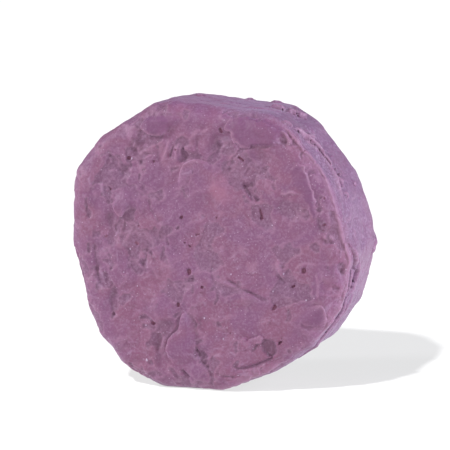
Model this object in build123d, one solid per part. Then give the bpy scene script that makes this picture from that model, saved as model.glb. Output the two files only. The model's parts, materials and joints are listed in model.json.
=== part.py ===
"""A hand-pressed rosin cake: one thick lump of waxy compound, with smears, folds and scraps of the
same compound pressed onto it, and a few white mineral grains caught in its face.

The cake stands on a flat of its rim. X runs across the face, Y from the front face to the back face,
and Z up. Everything is drawn about the middle of the lump and set down on Z = 0 at the end.
"""

from build123d import *
import math
import os

# ---- Driving dimensions, in millimetres and degrees ----
DEPTH = 20.0  # lump, front face to back face
CORNER_RADIUS = 5.0  # soft corner between two neighbouring flats of the rim
FRONT_SHOULDER = 3.0  # rounding where the front face turns into the rim
BACK_SHOULDER = 4.0  # rounding where the rim turns into the back face
STAND_REACH = 23.7  # middle of the lump down to the flat that it stands on
FRONT = -DEPTH / 2  # Y of the front face

# The rim was pressed flat on the bench all the way round, a turn at a time. Each flat is the direction
# that it faces, in degrees from +X towards +Z, and how far it lies from the middle.
RIM_FLATS = [
    (12, 23.7),
    (24, 23.7),
    (38, 23.6),
    (60, 24.4),
    (84, 23.3),
    (100, 24.8),
    (121, 25.1),
    (142, 25.9),
    (160, 25.8),
    (178, 24.0),
    (193, 23.4),
    (205, 24.0),
    (220, 24.7),
    (242, 25.0),
    (270, STAND_REACH),
    (291, 22.8),
    (304, 22.8),
    (325, 23.3),
    (345, 23.5),
]

# Smears on the front face: (X, Z) points of the outline, then the thick lip and the thin root of each,
# as (X, Z, thickness). Compound was dragged from the root and piled up at the lip.
SMEARS = {
    "upper_left_smear": {
        "outline": [(-11.6, 18.9), (-8.6, 17.9), (-5.6, 19.3), (-4.0, 20.6), (-8.0, 21.0), (-11.2, 20.2)],
        "lip": (-8.6, 18.0, 0.7),
        "root": (-6.0, 21.0, 0.2),
    },
    "upper_right_smear": {
        "outline": [(4.2, 20.4), (4.6, 17.6), (6.7, 16.7), (10.4, 16.2), (13.4, 15.6), (13.6, 17.6),
                    (11.0, 19.8), (7.6, 20.8)],
        "lip": (6.0, 17.0, 0.7),
        "root": (13.0, 18.0, 0.3),
    },
    "centre_smear": {
        "outline": [(-4.4, 13.7), (-2.2, 14.9), (0.6, 14.3), (4.4, 12.4), (4.8, 9.0), (1.0, 6.6),
                    (-3.4, 7.4), (-5.4, 10.6)],
        "lip": (-2.2, 14.7, 0.6),
        "root": (1.0, 6.8, 0.1),
    },
    "left_tab_smear": {
        "outline": [(-16.4, 6.2), (-15.0, 4.9), (-13.6, 5.9), (-11.4, 5.4), (-9.8, 8.0), (-12.0, 11.4),
                    (-15.4, 10.6), (-17.0, 8.2)],
        "lip": (-15.0, 5.2, 0.6),
        "root": (-12.0, 11.2, 0.1),
    },
    "lower_left_smear": {
        "outline": [(-4.6, -12.4), (-6.3, -14.0), (-7.2, -16.8), (-4.6, -18.2), (-1.4, -17.0),
                    (-0.6, -13.0), (-1.6, -9.2), (-3.6, -8.8)],
        "lip": (-6.6, -15.2, 0.7),
        "root": (-0.8, -13.0, 0.1),
    },
    "lower_scrap": {
        "outline": [(5.6, -13.8), (7.6, -14.0), (9.4, -13.1), (9.3, -14.9), (8.2, -16.6), (5.6, -16.6),
                    (4.8, -15.2)],
        "lip": (8.8, -13.6, 0.6),
        "root": (5.4, -16.6, 0.2),
    },
    "lower_right_smear": {
        "outline": [(17.6, -8.0), (18.4, -9.8), (17.3, -11.6), (15.2, -12.3), (13.9, -11.0), (15.1, -9.2)],
        "lip": (18.2, -9.6, 0.5),
        "root": (14.2, -11.8, 0.2),
    },
    "right_strip_smear": {
        "outline": [(13.0, 13.8), (14.4, 14.6), (16.4, 12.8), (18.4, 8.4), (19.2, 3.4), (18.2, 3.0),
                    (16.4, 6.6), (14.6, 9.6)],
        "lip": (13.4, 12.0, 0.5),
        "root": (18.8, 4.0, 0.2),
    },
}

# Rolls of compound along the rim, each from the middle of one flat to the middle of another, both named
# by the direction they face: on the front shoulder (first flat, last flat, radius), and on the wall of
# the rim (first flat, last flat, Y, radius).
SHOULDER_ROLLS = {
    "rim_lip": [(325, 60, 0.8)],
    "bottom_fold": [(270, 304, 0.8)],
}
WALL_ROLLS = {
    "side_ridge": [(24, 60, FRONT + 7.2, 0.6)],
    "right_folds": [(304, 345, FRONT + 4.0, 0.5), (325, 345, FRONT + 6.6, 0.4)],
}

# Blobs on the rim: (direction, Y, radius round the rim, radius along Y, height off the surface).
NODULES = {
    "side_nodules": [
        (58, FRONT + 4.4, 1.3, 0.7, 0.7),
        (51, FRONT + 9.6, 1.5, 0.9, 0.8),
        (18, FRONT + 8.0, 2.0, 0.8, 0.6),
    ],
    "crumb_strip": [
        (67, FRONT + 13.4, 1.3, 0.8, 0.7),
        (63, FRONT + 12.6, 1.2, 0.7, 0.6),
        (59, FRONT + 13.0, 1.4, 0.9, 0.8),
    ],
    "rim_ear": [
        (-3, FRONT + 5.0, 2.8, 1.4, 0.9),
    ],
    "back_nodules": [
        (0, FRONT + 16.0, 2.0, 1.6, 0.6),
        (71, FRONT + 15.8, 1.4, 1.0, 0.6),
        (90, FRONT + 15.6, 1.6, 1.0, 0.5),
    ],
}

# White grains caught in the front face: (X, Z, radius).
GRAINS = [
    (-10.4, -18.9, 0.26),
    (13.0, -3.4, 0.18),
    (16.8, -7.6, 0.2),
    (-13.0, 14.5, 0.2),
    (-0.5, -11.4, 0.2),
    (-13.3, -0.5, 0.18),
    (4.1, -3.9, 0.2),
    (11.0, 4.4, 0.16),
    (-10.6, -13.1, 0.18),
    (-2.6, 2.1, 0.16),
    (11.2, -6.4, 0.18),
    (-14.4, -4.4, 0.16),
    (2.7, -14.7, 0.16),
    (-12.1, -6.6, 0.14),
]


def toward(degrees):
    """The unit vector in the XZ plane that faces this direction."""
    angle = math.radians(degrees)
    return Vector(math.cos(angle), 0, math.sin(angle))


def rim_corners():
    """The sharp corners of the rim in the XZ plane, each where two neighbouring flats meet."""
    corners = []
    for (first, reach), (second, next_reach) in zip(RIM_FLATS, RIM_FLATS[1:] + RIM_FLATS[:1]):
        turn = math.radians(second - first)
        along = (next_reach - reach * math.cos(turn)) / math.sin(turn)
        corners.append(toward(first) * reach + toward(first + 90) * along)
    return corners


def rim_wire(y=0.0):
    """The closed outline of the lump at this Y."""
    corners = [corner + Vector(0, y, 0) for corner in rim_corners()]
    return Wire(FilletPolyline(*corners, radius=CORNER_RADIUS, close=True).edges())


def make_lump():
    """The lump itself: the pressed outline, as deep as the cake, with soft shoulders front and back."""
    blank = extrude(Face(rim_wire(y=FRONT)), amount=DEPTH, dir=(0, 1, 0))
    back_edges = blank.edges().filter_by_position(Axis.Y, -FRONT, -FRONT)
    blank = fillet(back_edges, BACK_SHOULDER)
    front_edges = blank.edges().filter_by_position(Axis.Y, FRONT, FRONT)
    return fillet(front_edges, FRONT_SHOULDER)


def smear(outline, lip, root):
    """A smear on the front face: a slab of its outline, planed down from the lip to the root."""
    face_plane = Plane.XZ.offset(-FRONT)
    slab = extrude(face_plane * make_face(Spline(*outline, periodic=True)), amount=2 * lip[2])
    on_lip = Vector(lip[0], FRONT - lip[2], lip[1])
    on_root = Vector(root[0], FRONT - root[2], root[1])
    slope = on_root - on_lip
    level = Vector(-slope.Z, 0, slope.X)
    outward = level.cross(slope)
    if outward.Y > 0:
        outward = -outward
    return split(slab, bisect_by=Plane(on_lip, x_dir=slope, z_dir=outward), keep=Keep.BOTTOM)


def rim_path(first, last):
    """The line round the rim, level with the front face, from the middle of one flat to that of another."""
    directions = [direction for direction, _ in RIM_FLATS]
    start, end = directions.index(first), directions.index(last)
    corners = [corner + Vector(0, FRONT, 0) for corner in rim_corners()]
    passed = [corners[(start + step) % len(corners)] for step in range((end - start) % len(corners))]
    begin = (corners[start - 1] + passed[0]) * 0.5
    finish = (passed[-1] + corners[end]) * 0.5
    return FilletPolyline(begin, *passed, finish, radius=CORNER_RADIUS)


def shoulder_section(radius):
    """A crescent: a disc of this radius on the middle of the front shoulder, less the shoulder's arc.

    Its plane has X out from the rim and Y towards the back, with its origin where rim and front meet.
    """
    hub = Vector(-FRONT_SHOULDER, FRONT_SHOULDER)
    half_angle = math.degrees(2 * math.asin(radius / (2 * FRONT_SHOULDER)))
    spoke = Vector(FRONT_SHOULDER, 0)
    low, middle, high = (hub + spoke.rotate(Axis.Z, -45 + side * half_angle) for side in (-1, 0, 1))
    crown = middle + (middle - hub).normalized() * radius
    return make_face([ThreePointArc(low, middle, high), ThreePointArc(high, crown, low)])


def wall_section(depth, radius):
    """A half disc of this radius on the wall of the rim, in the same plane, this far behind the front."""
    low, high = Vector(0, depth - radius), Vector(0, depth + radius)
    return make_face([Line(low, high), ThreePointArc(high, Vector(radius, depth), low)])


def roll(first, last, section):
    """A roll of this section along the rim between two flats."""
    path = rim_path(first, last)
    outward = toward(first)
    return sweep(Plane(path @ 0, x_dir=outward, z_dir=path % 0) * section, path=path)


def rim_point(degrees):
    """The point of the rim in this direction from the middle, in the XZ plane."""
    ray = Line((0, 0, 0), toward(degrees) * 2 * STAND_REACH)
    return rim_wire().intersect(ray).vertices()[0].center()


def nodule(lump, degrees, y, around, along, height):
    """A blob pressed onto the rim: a flattened ball bedded on the lump."""
    ball = scale(Sphere(1), by=(height, along, around))
    place = rim_point(degrees) + Vector(0, y, 0)
    return Location(place) * (Rotation(0, -degrees, 0) * ball) - lump


def grain(lump, x, z, radius):
    """A grain that stands half out of the front face."""
    return Pos(x, FRONT, z) * Sphere(radius) - lump


def solids_of(shapes):
    """The separate solids of several shapes, as one compound."""
    return Compound(children=[solid for shape in shapes for solid in shape.solids()])


def build():
    """Every node of the cake by name, drawn about the middle of the lump."""
    lump = make_lump()
    nodes = {"cake_lump": [lump]}
    for name, spec in SMEARS.items():
        nodes[name] = [smear(**spec)]
    for name, rolls in SHOULDER_ROLLS.items():
        nodes[name] = [roll(first, last, shoulder_section(radius)) for first, last, radius in rolls]
    for name, rolls in WALL_ROLLS.items():
        nodes[name] = [roll(first, last, wall_section(y - FRONT, radius)) for first, last, y, radius in rolls]
    for name, blobs in NODULES.items():
        nodes[name] = [nodule(lump, *sizes) for sizes in blobs]
    nodes["white_grains"] = [grain(lump, *sizes) for sizes in GRAINS]
    return {name: solids_of(shapes) for name, shapes in nodes.items()}


def set_down(nodes):
    """Moves the cake so that the origin is under the middle of its box, at the flat it stands on."""
    box = Compound(children=[solid for node in nodes.values() for solid in node.solids()]).bounding_box()
    middle = box.center()
    shift = Pos(-middle.X, -middle.Y, STAND_REACH)
    return {name: shift * node for name, node in nodes.items()}


os.makedirs("parts", exist_ok=True)
for node_name, node_shape in set_down(build()).items():
    export_step(node_shape, f"parts/{node_name}.step")
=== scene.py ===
"""Looks for a hand-pressed rosin cake that stands on a flat of its rim.

The lump, and every smear, roll, nodule and scrap on it, is cut from one bare skin, the outside of the
pressed lump, and they share one relief. So each scrap lies on the lump as a thin layer of the same
compound. Sizes are in millimetres from the middle of the lump, X across the face, Y from front to back
and Z up, and only the finished meshes are in metres.
"""

import itertools
import json
import logging
import math
from collections.abc import Callable
from dataclasses import dataclass, field
from enum import Enum

import bpy
import numpy as np
from mathutils import Matrix, Vector
from mathutils.bvhtree import BVHTree

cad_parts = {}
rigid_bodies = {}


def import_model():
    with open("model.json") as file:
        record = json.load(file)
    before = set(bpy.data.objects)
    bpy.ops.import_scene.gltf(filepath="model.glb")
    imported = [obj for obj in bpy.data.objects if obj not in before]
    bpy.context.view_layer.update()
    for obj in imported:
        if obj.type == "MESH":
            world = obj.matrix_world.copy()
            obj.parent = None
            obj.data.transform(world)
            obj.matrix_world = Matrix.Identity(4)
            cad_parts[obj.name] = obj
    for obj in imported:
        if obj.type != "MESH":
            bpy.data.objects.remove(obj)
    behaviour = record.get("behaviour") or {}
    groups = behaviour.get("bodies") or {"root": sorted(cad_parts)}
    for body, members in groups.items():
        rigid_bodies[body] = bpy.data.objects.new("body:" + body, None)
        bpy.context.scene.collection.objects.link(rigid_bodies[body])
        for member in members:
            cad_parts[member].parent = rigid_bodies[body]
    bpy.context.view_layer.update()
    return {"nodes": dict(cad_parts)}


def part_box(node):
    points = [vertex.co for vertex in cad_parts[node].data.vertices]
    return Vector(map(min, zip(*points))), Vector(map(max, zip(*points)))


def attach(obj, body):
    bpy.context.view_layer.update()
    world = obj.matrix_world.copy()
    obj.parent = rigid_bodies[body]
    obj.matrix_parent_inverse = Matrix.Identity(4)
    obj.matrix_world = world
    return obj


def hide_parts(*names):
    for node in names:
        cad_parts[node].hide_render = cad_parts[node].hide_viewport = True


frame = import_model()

LOG = logging.getLogger("rosin_cake")
MM = 0.001  # metres in a millimetre
Array = np.ndarray
Spot = tuple[float, float]
Path = tuple[Spot, ...]

LOW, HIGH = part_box("cake_lump")
LEFT_REACH = 23.995  # the lump's middle to its left side
STAND_REACH = 23.7  # the lump's middle down to the flat it stands on
MIDDLE = np.array([LOW.x / MM + LEFT_REACH, (LOW.y + HIGH.y) / 2 / MM, LOW.z / MM + STAND_REACH])
FRONT = (LOW.y - HIGH.y) / 2 / MM  # Y of the front face
FAR = 60.0  # well outside the lump


# ---- Numbers on arrays of points -----------------------------------------------------------------


def scramble(cells: Array, seed: int) -> Array:
    """Mixes whole-number cells and a seed into one even 32-bit number for each cell.

    Args:
        cells: Whole numbers, one row of three for each cell.
        seed: Which of the many patterns to give.

    Returns:
        One number from 0 to 2**32 - 1 for each cell.
    """
    key = cells[:, 0] * 73856093 ^ cells[:, 1] * 19349663 ^ cells[:, 2] * 83492791 ^ seed * 40503
    key = key & 0xFFFFFFFF
    for shift, factor in ((15, 2246822519), (13, 3266489917)):
        key = ((key ^ (key >> shift)) * factor) & 0xFFFFFFFF
    return key ^ (key >> 16)


def tumbled(seed: int) -> Array:
    """Gives each pattern a turn of its own, so that no two share the directions of their cells.

    Args:
        seed: The pattern.

    Returns:
        Its turn, as three rows of three.
    """
    turn = Matrix.Identity(3)
    for axis, angle in (("X", 1.1 + seed), ("Y", 0.7 + 2 * seed), ("Z", 0.4 + 3 * seed)):
        turn = turn @ Matrix.Rotation(angle, 3, axis)
    return np.array(turn)


def noise(points: Array, size: float, seed: int) -> Array:
    """Smooth noise, about -1 to 1, the same on every run.

    Args:
        points: Points in millimetres.
        size: The size of its lumps, in millimetres.
        seed: Which of the many patterns to give.

    Returns:
        One value for each point.
    """
    place = (points / size) @ tumbled(seed)
    cells = np.floor(place).astype(np.int64)
    offset = place - cells
    fade = offset**3 * (offset * (offset * 6 - 15) + 10)
    total = np.zeros(len(points))
    for corner in itertools.product((0, 1), repeat=3):
        near = np.array(corner)
        key = scramble(cells + near, seed)
        slope = np.stack([(key >> shift & 1023) / 511.5 - 1 for shift in (0, 10, 20)], axis=1)
        weight = np.prod(np.where(near, fade, 1 - fade), axis=1)
        total += weight * np.sum(slope * (offset - near), axis=1)
    return total * 1.6


def smooth(values: Array, low: float | Array, high: float | Array) -> Array:
    """Goes softly from 0 at low to 1 at high."""
    share = np.clip((values - low) / (high - low), 0, 1)
    return share * share * (3 - 2 * share)


def warped(points: Array, size: float, reach: float, seed: int) -> Array:
    """Moves points about by smooth noise, so that what is drawn on them runs crookedly.

    Args:
        points: Points in millimetres.
        size: The size of the wander.
        reach: How far it moves them.
        seed: The pattern, and the two after it.

    Returns:
        The moved points.
    """
    return points + reach * np.stack([noise(points, size, seed + step) for step in range(3)], axis=1)


def along_path(points: Array, path: Array, across: Array) -> tuple[Array, Array, Array]:
    """Measures points against a crooked line of straight runs.

    Args:
        points: The points.
        path: The corners of the line.
        across: The surface's outward normal at each point.

    Returns:
        The distance to the line, the share of the line's length at the nearest place, and 1 on the
        left of it or -1 on its right, as seen from outside the lump.
    """
    runs = np.diff(path, axis=0)
    lengths = np.maximum(np.linalg.norm(runs, axis=1), 1e-6)
    starts = np.concatenate([[0], np.cumsum(lengths)])
    best, share, side = np.full(len(points), FAR), np.zeros(len(points)), np.ones(len(points))
    for begin, run, length, start in zip(path, runs, lengths, starts):
        leg = points - begin
        at = np.clip(leg @ run / length**2, 0, 1)
        gap = leg - at[:, None] * run
        distance = np.linalg.norm(gap, axis=1)
        nearer = distance < best
        best = np.where(nearer, distance, best)
        share = np.where(nearer, (start + at * length) / starts[-1], share)
        turned = np.sum(np.cross(run, gap) * across, axis=1)
        side = np.where(nearer, np.where(turned >= 0, 1.0, -1.0), side)
    return best, share, side


def inside_outline(flat: Array, outline: Array) -> Array:
    """Measures points against a closed outline.

    Args:
        flat: The points, each as across and up.
        outline: The corners of the outline.

    Returns:
        The distance from each point to the outline, above 0 inside it and below 0 outside.
    """
    best, crossings = np.full(len(flat), FAR), np.zeros(len(flat), int)
    for begin, end in zip(outline, np.roll(outline, -1, axis=0)):
        run, leg = end - begin, flat - begin
        at = np.clip(leg @ run / (run @ run), 0, 1)
        best = np.minimum(best, np.linalg.norm(leg - at[:, None] * run, axis=1))
        spans = (begin[1] > flat[:, 1]) != (end[1] > flat[:, 1])
        rise = run[1] if abs(run[1]) > 1e-9 else 1e-9
        crossings += spans & (flat[:, 0] < begin[0] + run[0] * (flat[:, 1] - begin[1]) / rise)
    return np.where(crossings % 2 == 1, best, -best)


def rounded(path: Path, closed: bool) -> Array:
    """Cuts the corners of a line twice, so that it bends softly.

    Args:
        path: The corners of the line.
        closed: Whether its end joins its start.

    Returns:
        The corners of the softer line.
    """
    line = np.array(path, float)
    for _ in range(2):
        ends = np.roll(line, -1, axis=0) if closed else line[1:]
        begins = line if closed else line[:-1]
        cut = np.stack([begins * 0.75 + ends * 0.25, begins * 0.25 + ends * 0.75], axis=1)
        cut = cut.reshape(-1, line.shape[1])
        line = cut if closed else np.vstack([line[:1], cut, line[-1:]])
    return line


# ---- Blender helpers ---------------------------------------------------------------------------


def pick(piece: bpy.types.Object) -> None:
    """Makes a piece the only selected and active one.

    Args:
        piece: The piece.
    """
    for other in bpy.context.view_layer.objects:
        other.select_set(False)
    piece.select_set(True)
    bpy.context.view_layer.objects.active = piece


def new_piece(name: str, mesh: bpy.types.Mesh) -> bpy.types.Object:
    """Puts a mesh into the scene.

    Args:
        name: The piece's name.
        mesh: Its mesh.

    Returns:
        The piece.
    """
    piece = bpy.data.objects.new(name, mesh)
    bpy.context.scene.collection.objects.link(piece)
    return piece


def edit(piece: bpy.types.Object, faces: Array, *steps: Callable[[], object]) -> None:
    """Takes edit-mode steps on some of a piece's faces.

    Args:
        piece: The piece.
        faces: True for each face that the steps act on.
        steps: What to do, in order.
    """
    pick(piece)
    bpy.context.tool_settings.mesh_select_mode = (False, False, True)
    mesh = piece.data
    for parts in (mesh.vertices, mesh.edges):
        parts.foreach_set("select", np.zeros(len(parts), bool))
    mesh.polygons.foreach_set("select", faces)
    bpy.ops.object.mode_set(mode="EDIT")
    for step in steps:
        step()
    bpy.ops.object.mode_set(mode="OBJECT")


def finish_with(piece: bpy.types.Object, kind: str, **settings: object) -> None:
    """Adds a modifier to a piece and applies it.

    Args:
        piece: The piece.
        kind: The modifier's type.
        settings: Its settings, by name.
    """
    modifier = piece.modifiers.new(kind.title(), kind)
    for name, value in settings.items():
        setattr(modifier, name, value)
    pick(piece)
    bpy.ops.object.modifier_apply(modifier=modifier.name)


def read_rows(items: bpy.types.bpy_prop_collection, name: str) -> Array:
    """Reads three numbers of each item.

    Args:
        items: Vertices, faces or normals of a mesh.
        name: Which property holds the numbers.

    Returns:
        One row of three for each item.
    """
    rows = np.empty(len(items) * 3, np.float32)
    items.foreach_get(name, rows)
    return rows.reshape(-1, 3).astype(float)


def face_centres(piece: bpy.types.Object) -> Array:
    """The middle of each face, in millimetres from the lump's middle."""
    return read_rows(piece.data.polygons, "center") / MM - MIDDLE


def read_points(piece: bpy.types.Object) -> Array:
    """Each vertex of a piece, in millimetres from the lump's middle."""
    return read_rows(piece.data.vertices, "co") / MM - MIDDLE


def read_normals(piece: bpy.types.Object) -> Array:
    """The outward direction at each vertex of a piece."""
    return read_rows(piece.data.vertex_normals, "vector")


def write_points(piece: bpy.types.Object, points: Array) -> None:
    """Moves each vertex of a piece, and keeps it above the floor.

    Args:
        piece: The piece.
        points: Where each vertex goes, in millimetres from the lump's middle.
    """
    points[:, 2] = np.maximum(points[:, 2], -STAND_REACH)
    piece.data.vertices.foreach_set("co", ((points + MIDDLE) * MM).astype(np.float32).ravel())
    piece.data.update()


def write_masks(piece: bpy.types.Object, **masks: Array) -> None:
    """Stores values from 0 to 1 at each vertex, for a material to read.

    Args:
        piece: The piece.
        masks: The values of each attribute, by name.
    """
    for name, values in masks.items():
        mask = piece.data.attributes.new(name, "FLOAT", "POINT")
        mask.data.foreach_set("value", np.clip(values, 0, 1).astype(np.float32))


# ---- The bare skin of the lump ------------------------------------------------------------------


class Place(Enum):
    """Where the two numbers of a spot are measured."""

    FACE = "across and up, on the front face"
    RIM = "degrees round the rim from the right, and millimetres behind the front"


@dataclass
class BareSkin:
    """The smooth outside of the pressed lump, before any relief: all pieces are cut from it."""

    grain: float = 0.42  # size of its faces
    blank: bpy.types.Object = field(init=False)
    surface: BVHTree = field(init=False)
    lines: dict[tuple[Path, Place], Array] = field(default_factory=dict)

    def __post_init__(self) -> None:
        """Copies the solid lump, joins its loose triangles and gives it even faces."""
        solid = frame["nodes"]["cake_lump"].data
        corners = [tuple(point) for point in np.array([v.co for v in solid.vertices]) / MM - MIDDLE]
        self.surface = BVHTree.FromPolygons(corners, [tuple(face.vertices) for face in solid.polygons])
        self.blank = new_piece("bare_skin", solid.copy())
        everything = np.ones(len(solid.polygons), bool)
        edit(self.blank, everything, lambda: bpy.ops.mesh.remove_doubles(threshold=0.002 * MM))
        finish_with(self.blank, "REMESH", mode="VOXEL", voxel_size=self.grain * MM, use_smooth_shade=True)
        self.blank.data.materials.clear()
        self.settle(self.blank)

    def settle(self, piece: bpy.types.Object) -> None:
        """Moves each vertex of a piece onto the exact surface of the lump."""
        points = [self.surface.find_nearest(point)[0] for point in read_points(piece)]
        write_points(piece, np.array(points))

    def spot(self, spot: Spot, place: Place) -> Array:
        """Finds a point of the skin.

        Args:
            spot: The two numbers of the spot.
            place: Where they are measured.

        Returns:
            The point, in millimetres from the lump's middle.
        """
        first, second = spot
        if place is Place.FACE:
            start, direction = Vector((first, -FAR, second)), Vector((0, 1, 0))
        else:
            turn = math.radians(first)
            outward = Vector((math.cos(turn), 0, math.sin(turn)))
            start, direction = outward * FAR + Vector((0, FRONT + second, 0)), -outward
        hit = self.surface.ray_cast(start, direction)[0]
        return np.array(hit if hit is not None else self.surface.find_nearest(start)[0])

    def line(self, path: Path, place: Place) -> Array:
        """Lays a soft line over the skin.

        Args:
            path: The spots that it bends round.
            place: Where they are measured.

        Returns:
            Its corners, which are kept for the next piece that asks.
        """
        if (path, place) not in self.lines:
            bent = rounded(path, closed=False)
            self.lines[path, place] = np.array([self.spot(tuple(spot), place) for spot in bent])
        return self.lines[path, place]

    def cut(self, name: str, wanted: Callable[[Array], Array] | None = None, cuts: int = 0) -> bpy.types.Object:
        """A new piece of the skin.

        Args:
            name: The piece's name.
            wanted: Says which face middles to keep, all if left out.
            cuts: How many times each edge is cut.

        Returns:
            The piece, still bare.
        """
        piece = new_piece(name, self.blank.data.copy())
        if wanted is not None:
            edit(piece, ~wanted(face_centres(piece)), lambda: bpy.ops.mesh.delete(type="FACE"))
        if cuts:
            self.refine(piece, np.ones(len(piece.data.polygons), bool), cuts)
        return piece

    def refine(self, piece: bpy.types.Object, faces: Array, cuts: int = 1) -> None:
        """Divides some faces of a bare piece and settles them on the lump again."""
        edit(piece, faces, lambda: bpy.ops.mesh.subdivide(number_cuts=cuts))
        self.settle(piece)


# ---- Marks in the relief --------------------------------------------------------------------------


@dataclass(frozen=True)
class Stroke:
    """A groove, when its rise is below 0, or a ridge, pressed or dragged along a line."""

    path: Path
    width: float
    rise: float
    bank: float = 0.0  # how far the left side slopes away, 0 for two sides alike
    place: Place = Place.FACE

    def reach(self) -> float:
        """How far from its line the stroke still shows."""
        return 3 * self.width + 5 * self.bank

    def corners(self, skin: BareSkin) -> Array:
        """The stroke's line over the skin."""
        return skin.line(self.path, self.place)

    def press(self, points: Array, normals: Array, skin: BareSkin) -> tuple[Array, Array]:
        """Measures the stroke at some points.

        Args:
            points: Points of the bare skin.
            normals: The outward direction at each.
            skin: The bare skin, to lay the path on.

        Returns:
            How far each point moves out, and how much painted highlight it has along a ridge's lip.
        """
        distance, share, side = along_path(points, self.corners(skin), normals)
        width = self.width * (1 + 0.22 * noise(points, 0.9, 41))
        taper = smooth(share, -0.02, 0.16) * smooth(1 - share, -0.02, 0.16)
        crisp = np.exp(-((distance / width) ** 2))
        shape = crisp if not self.bank else np.where(side > 0, np.exp(-distance / self.bank), crisp)
        rise = self.rise * (1 + 0.5 * noise(points, 2.2, 43)) * taper
        return rise * shape, min(max(4 * self.rise, 0), 1) * taper * crisp


@dataclass(frozen=True)
class Pore:
    """A burst bubble: a small round hole with a slightly raised rim."""

    spot: Spot
    radius: float
    depth: float
    stretch: Spot = (0.0, 0.0)  # from one end of a long pore to the other
    raised: float = 0.05  # height of its rim

    def reach(self) -> float:
        """How far from its middle the pore still shows."""
        return 3 * self.radius + 0.3

    def corners(self, skin: BareSkin) -> Array:
        """The pore's two ends on the skin, never quite at the same place."""
        far_end = tuple(np.add(self.spot, self.stretch))
        return np.array([skin.spot(self.spot, Place.FACE), skin.spot(far_end, Place.FACE) + 1e-6])

    def press(self, points: Array, normals: Array, skin: BareSkin) -> tuple[Array, Array]:
        """Measures the hole, left crooked by a little noise.

        Args:
            points: Points of the bare skin.
            normals: The outward direction at each.
            skin: The bare skin, to lay the hole on.

        Returns:
            How far each point moves out, and no painted highlight.
        """
        distance, _, _ = along_path(warped(points, 0.5, 0.10, 61), self.corners(skin), normals)
        reach = distance / (1.15 * self.radius)
        hole = -self.depth * (1 - smooth(reach, 0.45, 1.15))
        rim = self.raised * np.exp(-(((reach - 1.45) / 0.35) ** 2))
        return hole + rim, np.zeros(len(points))


@dataclass(frozen=True)
class Dish:
    """A hollow, or below 0 a raised plate, with a level floor inside an outline on the front face."""

    outline: Path
    depth: float
    wall: float

    def reach(self) -> float:
        """How far outside its outline the hollow still shows."""
        return self.wall + 0.6

    def corners(self, skin: BareSkin) -> Array:
        """The outline on the skin."""
        return skin.line(self.outline, Place.FACE)

    def press(self, points: Array, normals: Array, skin: BareSkin) -> tuple[Array, Array]:
        """Measures the hollow at some points.

        Args:
            points: Points of the bare skin.
            normals: The outward direction at each.
            skin: The bare skin, to lay the outline on.

        Returns:
            How far each point moves out, and no painted highlight.
        """
        crooked = warped(warped(points, 0.6, 0.16, 71), 1.8, 0.35, 75)[:, ::2]
        inner = inside_outline(crooked, rounded(self.outline, closed=True))
        front = points[:, 1] < 0
        return front * -self.depth * smooth(inner, -self.wall / 2, self.wall / 2), np.zeros(len(points))


PORES = (
    Pore((-3.1, -3.8), 0.42, 0.54, (0.0, -0.15)),
    Pore((16.4, -2.75), 0.45, 0.54),
    Pore((11.3, -9.2), 0.30, 0.48, (0.25, 0.3)),
    Pore((-5.0, -9.4), 0.34, 0.54),
    Pore((-9.4, -12.6), 0.30, 0.54, (0.15, -0.1)),
    Pore((-4.4, 5.1), 0.22, 0.42, (0.1, 0.15)),
    Pore((-0.9, -6.3), 0.21, 0.42, (0.1, 0.0)),
    Pore((-1.1, -7.15), 0.11, 0.24),
    Pore((-2.6, -4.9), 0.10, 0.24),
    Pore((1.6, 5.35), 0.14, 0.30),
    Pore((-3.9, 0.95), 0.15, 0.30),
    Pore((-3.1, 0.5), 0.14, 0.36, (0.15, -0.15)),
    Pore((14.5, -5.5), 0.20, 0.42, (0.2, 0.1)),
    Pore((12.25, -15.0), 0.20, 0.48, (0.2, 0.25)),
    Pore((12.65, -14.1), 0.10, 0.18),
    Pore((-13.7, 14.55), 0.26, 0.48, (0.3, 0.0)),
    Pore((-9.2, 14.1), 0.17, 0.30),
    Pore((-5.3, 16.2), 0.15, 0.30),
    Pore((-16.7, 9.3), 0.15, 0.24),
    Pore((-17.2, 9.0), 0.10, 0.18),
    Pore((5.5, 15.3), 0.20, 0.42, (0.5, -0.45)),
    Pore((2.25, 19.85), 0.20, 0.36, (0.2, -0.5)),
    Pore((9.2, 5.5), 0.30, 0.45),
    Pore((8.95, 6.8), 0.20, 0.40, (0.2, -0.9)),
    Pore((-1.8, 2.3), 0.12, 0.24, (0.4, 0.25)),
    Pore((-11.7, 3.4), 0.15, 0.18),
    Pore((3.9, -13.7), 0.14, 0.18),
    Pore((10.8, -11.6), 0.11, 0.18),
    Pore((3.0, -9.8), 0.10, 0.18),
    Pore((19.6, 4.8), 0.17, 0.24, (0.3, 0.1)),
    Pore((19.5, 3.9), 0.12, 0.18),
    Pore((19.7, 9.2), 0.16, 0.24),
    Pore((-17.6, 1.4), 0.15, 0.18, (0.3, 0.1)),
    Pore((-12.3, 0.6), 0.25, 0.21, (0.3, -0.2)),
)

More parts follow.
